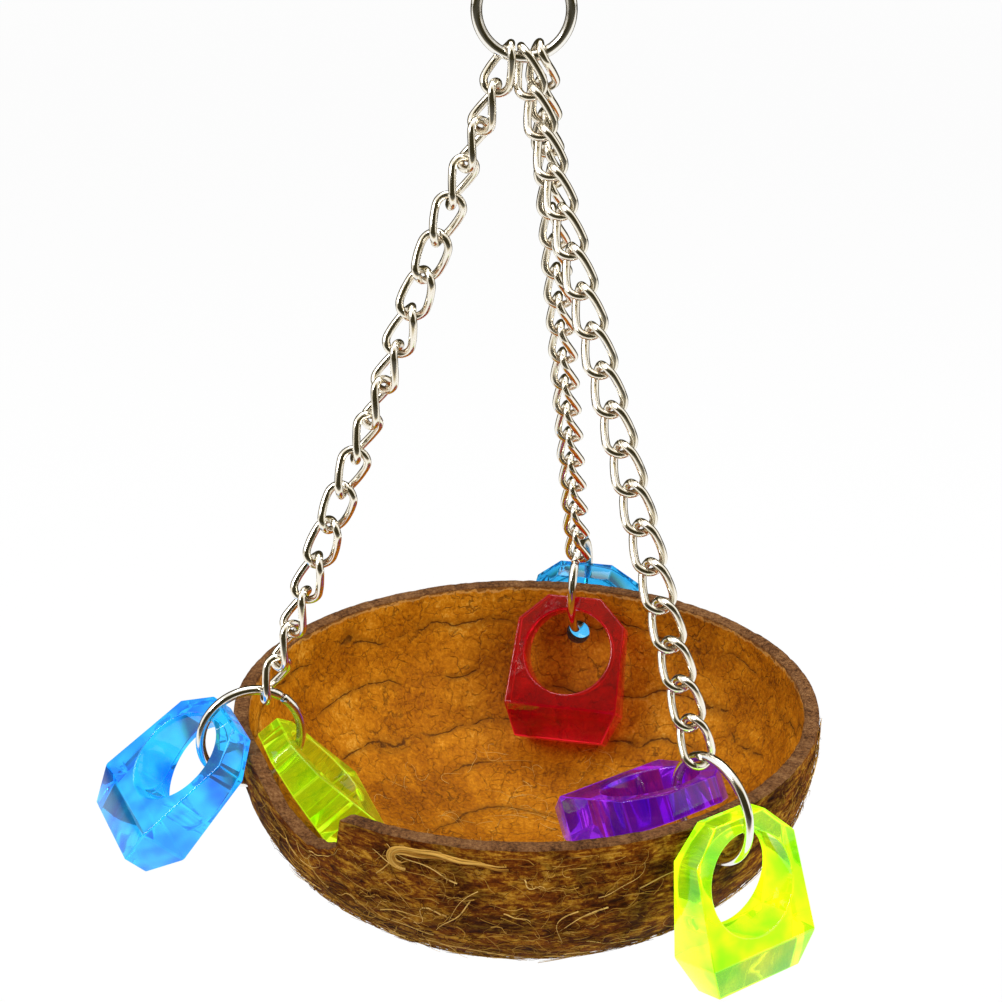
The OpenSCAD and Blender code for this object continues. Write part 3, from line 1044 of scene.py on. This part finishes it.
CUT_STOPS = (
    (0.38, (0.035, 0.012, 0.003)),
    (0.5, (0.150, 0.061, 0.019)),
    (0.64, (0.28, 0.140, 0.052)),
)


def shell_cut(streaks):
    """Sawn rim face and hole walls: dull greyish brown with dark pores."""
    material, tree, shader = new_material("shell_cut", Specular_IOR_Level=0.12)
    fine = grain_noise(tree, size=0.6, detail=5, roughness=0.7)
    broad = placed(tree, streaks, Round=12.0, Rise=60.0, Waver=0.8)["Streak"]
    value = weighed(tree, (fine, 0.65), (broad, 0.35))
    dull = eased(tree, fine, 0.3, 0.7, to_low=0.65, to_high=0.9)
    coated(tree, shader, coloured(tree, value, CUT_STOPS), dull)
    bumped(tree, shader, fine, strength=0.8, distance=0.6)
    return material


FIBRE_STOPS = (
    (0.08, (0.060, 0.017, 0.002)),
    (0.32, (0.200, 0.078, 0.008)),
    (0.55, (0.42, 0.220, 0.035)),
    (0.9, (0.70, 0.44, 0.12)),
)


def husk_fibre():
    """Loose fibre: dark brown to pale straw, each strand with its own tone."""
    material, tree, shader = new_material("husk_fibre", Specular_IOR_Level=0.06)
    tone = add(tree, "ShaderNodeAttribute", attribute_name="tone").outputs["Fac"]
    fleck = grain_noise(tree, size=1.2, detail=3)
    value = added(tree, tone, fleck, 0.3)
    colour = coloured(tree, times(tree, value, 0.5), FIBRE_STOPS)
    coated(tree, shader, colour, eased(tree, value, 0, 1.5, to_low=0.9, to_high=0.6))
    return material


def wire_metal(name, bend_shade, metal, shade_tint, amount, polish):
    """Plated wire, with painted shade and dark reflection in its bends."""
    material, tree, shader = new_material(name, Metallic=1.0)
    wear = placed(tree, bend_shade, Metal=(*metal, 1), Grime=(*shade_tint, 1), Amount=amount, Polish=polish)
    coated(tree, shader, wear["Color"], wear["Roughness"])
    bumped(tree, shader, wear["Height"], strength=0.12, distance=0.05)
    return material


ACRYLIC_IOR = 1.49


def clear_acrylic(name, acrylic, tint, deep, painted_body_light, painted_edge_light):
    """Clear tinted plastic with painted light: the body and, stronger, the bevelled edges emit their own
    tint though they are no lamp.
    """
    made = []
    for part, strength in ((name, painted_body_light), (f"{name}_edge", painted_edge_light)):
        material, tree, shader = new_material(
            part, Transmission_Weight=1.0, IOR=ACRYLIC_IOR, Emission_Strength=strength
        )
        look = placed(tree, acrylic, Tint=(*tint, 1), Deep=(*deep, 1), Polish=0.03)
        coated(tree, shader, look["Color"], look["Roughness"])
        # Painted light: the plastic emits its own tint as if lit from inside
        tree.links.new(look["Color"], shader["Emission Color"])
        bumped(tree, shader, look["Height"], strength=0.06, distance=0.3)
        made.append(material)
    return made


# Studio

WHITE = (1, 1, 1, 1)
FLOOR_GREY = (0.86, 0.86, 0.86, 1)
FLOOR_Z = -300
FLOOR_HALF = 6000

# How white the floor looks under the nest, and how far out it starts and ends to turn fully white
SHADOW_WHITE = 0.93
WHITE_START = 600
WHITE_END = 3500

SOFT_LIGHT = 0.55

# What metal and acrylic mirror, from the white surroundings to the dim warm screens before and behind
SCREEN_STOPS = (
    (0, (1, 1, 1)),
    (0.35, (0.62, 0.50, 0.25)),
    (0.7, (0.070, 0.052, 0.016)),
    (1, (0.030, 0.024, 0.007)),
)
SCREEN_NEAR = 260
SCREEN_FAR = 560
SCREEN_LEVEL = 0.25

# Lamps: place, spot that it points at, width, watts, whether glossy faces mirror it
LAMPS = {
    "key": ((-850, -420, 620), (0, 0, -120), 500, 8, True),
    "fill": ((650, -350, 250), (0, 0, -150), 500, 5, False),
    "top": ((0, 150, 700), (0, 0, -150), 600, 3.5, True),
}

CAMERA_PLACE = (-4.3, -423.6, 65.4)
CAMERA_DOWN = 22.104
CAMERA_LENS = 80.99
CAMERA_SENSOR = 36
CAMERA_REACH = (10, 30000)


def seen_ray(tree, path):
    """1 for rays from the camera, and for those that metal and glass send on."""
    sent_on = worked(tree, "MAXIMUM", path["Is Glossy Ray"], path["Is Transmission Ray"])
    return worked(tree, "MAXIMUM", path["Is Camera Ray"], sent_on)


def studio_floor():
    """A wide floor that looks white, keeps a soft shadow, and is dim where metal mirrors it far off."""
    material = bpy.data.materials.new("studio_floor")
    material.use_nodes = True
    tree = material.node_tree
    tree.nodes.clear()
    path = add(tree, "ShaderNodeLightPath").outputs
    place = add(tree, "ShaderNodeNewGeometry").outputs["Position"]
    ahead = worked(tree, "ABSOLUTE", parts_of(tree, place)["Y"])
    mirrored = coloured(tree, eased(tree, ahead, SCREEN_NEAR * MM, SCREEN_FAR * MM), SCREEN_STOPS)
    look = blended(tree, path["Is Glossy Ray"], WHITE, mirrored)
    matt = add(tree, "ShaderNodeBsdfDiffuse", {"Color": FLOOR_GREY})
    white = add(tree, "ShaderNodeEmission", {"Color": look, "Strength": 1.0})
    away = length_of(tree, place)
    whiteness = eased(tree, away, WHITE_START * MM, WHITE_END * MM, to_low=SHADOW_WHITE)
    share = times(tree, seen_ray(tree, path), whiteness)
    mix = add(tree, "ShaderNodeMixShader", {0: share, 1: matt.outputs[0], 2: white.outputs[0]})
    add(tree, "ShaderNodeOutputMaterial", {"Surface": mix.outputs[0]})
    corners = [(-1, -1), (1, -1), (1, 1), (-1, 1)]
    verts = [(x * FLOOR_HALF, y * FLOOR_HALF, FLOOR_Z) for x, y in corners]
    new_piece("floor", verts, [(0, 1, 2, 3)], [material])


def studio_world():
    """Plain soft light all round, seen as white, with two dim warm screens for the metal to mirror."""
    world = bpy.data.worlds.new("studio")
    world.use_nodes = True
    tree = world.node_tree
    tree.nodes.clear()
    path = add(tree, "ShaderNodeLightPath").outputs
    soft = add(tree, "ShaderNodeBackground", {"Color": WHITE, "Strength": SOFT_LIGHT})
    white = add(tree, "ShaderNodeBackground", {"Color": WHITE, "Strength": 1.0})
    way = parts_of(tree, add(tree, "ShaderNodeTexCoord").outputs["Generated"])
    facing = worked(tree, "ABSOLUTE", way["Y"])
    level = worked(tree, "ABSOLUTE", worked(tree, "SUBTRACT", way["Z"], SCREEN_LEVEL))
    dim = times(tree, eased(tree, facing, 0.26, 0.66), eased(tree, level, 0.70, 0.40))
    screens = coloured(tree, dim, SCREEN_STOPS)
    mirrored = add(tree, "ShaderNodeBackground", {"Color": screens, "Strength": 1.0})
    seen = worked(tree, "MAXIMUM", path["Is Camera Ray"], path["Is Transmission Ray"])
    shaders = {0: path["Is Glossy Ray"], 1: soft.outputs[0], 2: mirrored.outputs[0]}
    first = add(tree, "ShaderNodeMixShader", shaders)
    second = add(tree, "ShaderNodeMixShader", {0: seen, 1: first.outputs[0], 2: white.outputs[0]})
    add(tree, "ShaderNodeOutputWorld", {"Surface": second.outputs[0]})
    bpy.context.scene.world = world


def soft_lamp(name, place, aim, size, watts, mirrored):
    """A square soft box, which clear parts don't show and glossy faces may leave out."""
    lamp = bpy.data.lights.new(name, "AREA")
    lamp.size, lamp.energy = size * MM, watts
    box = bpy.data.objects.new(name, lamp)
    box.location = Vector(place) * MM
    box.visible_glossy = mirrored
    box.visible_transmission = False
    box.rotation_euler = (Vector(aim) - Vector(place)).to_track_quat("-Z", "Y").to_euler()
    bpy.context.collection.objects.link(box)


def studio_camera():
    """The camera where the photograph was taken from."""
    lens = bpy.data.cameras.new("camera")
    lens.lens, lens.sensor_width = CAMERA_LENS, CAMERA_SENSOR
    lens.clip_start, lens.clip_end = [reach * MM for reach in CAMERA_REACH]
    camera = bpy.data.objects.new("camera", lens)
    camera.location = Vector(CAMERA_PLACE) * MM
    camera.rotation_euler = (math.radians(90 - CAMERA_DOWN), 0, 0)
    bpy.context.collection.objects.link(camera)
    bpy.context.scene.camera = camera


# All together

# Wires: metal, colour of the painted shade, amount of painted shade, roughness away from the painted shade
CHAIN_NICKEL = ((0.95, 0.90, 0.79), (0.30, 0.17, 0.03), 0.85, 0.12)
RING_NICKEL = ((0.92, 0.90, 0.85), (0.20, 0.15, 0.08), 0.5, 0.10)

# Acrylics: tint, deeper tint, painted light emitted by the body, painted light emitted by the edges
ACRYLICS = {
    "blue": ((0.03, 0.53, 0.98), (0.002, 0.14, 0.84), 0.15, 0.3),
    "sky": ((0.05, 0.52, 0.92), (0.015, 0.36, 0.80), 0.04, 0.12),
    "lime": ((0.70, 0.98, 0.012), (0.24, 0.86, 0.010), 0.3, 0.4),
    "pale_lime": ((0.72, 0.98, 0.03), (0.50, 0.92, 0.015), 0.09, 0.3),
    "red": ((0.70, 0.004, 0.022), (0.44, 0.002, 0.012), 0.1, 0.22),
    "purple": ((0.38, 0.028, 0.68), (0.14, 0.006, 0.56), 0.1, 0.22),
}

# Charms: leg, side of the rim, acrylic, material slot
CHARMS = (
    (0, OUTER, "blue", "clear_blue"),
    (0, INNER, "pale_lime", "clear_lime"),
    (1, OUTER, "sky", "clear_sky"),
    (1, INNER, "red", "clear_red"),
    (2, OUTER, "lime", "clear_lime"),
    (2, INNER, "purple", "clear_purple"),
)

bpy.context.scene.view_settings.view_transform = "Standard"
studio_camera()
studio_world()
studio_floor()
for name, lamp in LAMPS.items():
    soft_lamp(name, *lamp)

streaks = streak_group()
shell_piece(husk_skin(streaks), shell_lining(streaks), shell_cut(streaks))
fibre = husk_fibre()
fibre_pieces(fibre)
husk_strip(fibre)

bend_shade = bend_shade_group()
chain_pieces(wire_metal("chain_nickel", bend_shade, *CHAIN_NICKEL))
ring_pieces(wire_metal("ring_nickel", bend_shade, *RING_NICKEL))

acrylic = acrylic_group()
plastics = {name: clear_acrylic(f"{name}_acrylic", acrylic, *look) for name, look in ACRYLICS.items()}
for leg, side, colour, slot in CHARMS:
    charm_piece(leg, side, plastics[colour])
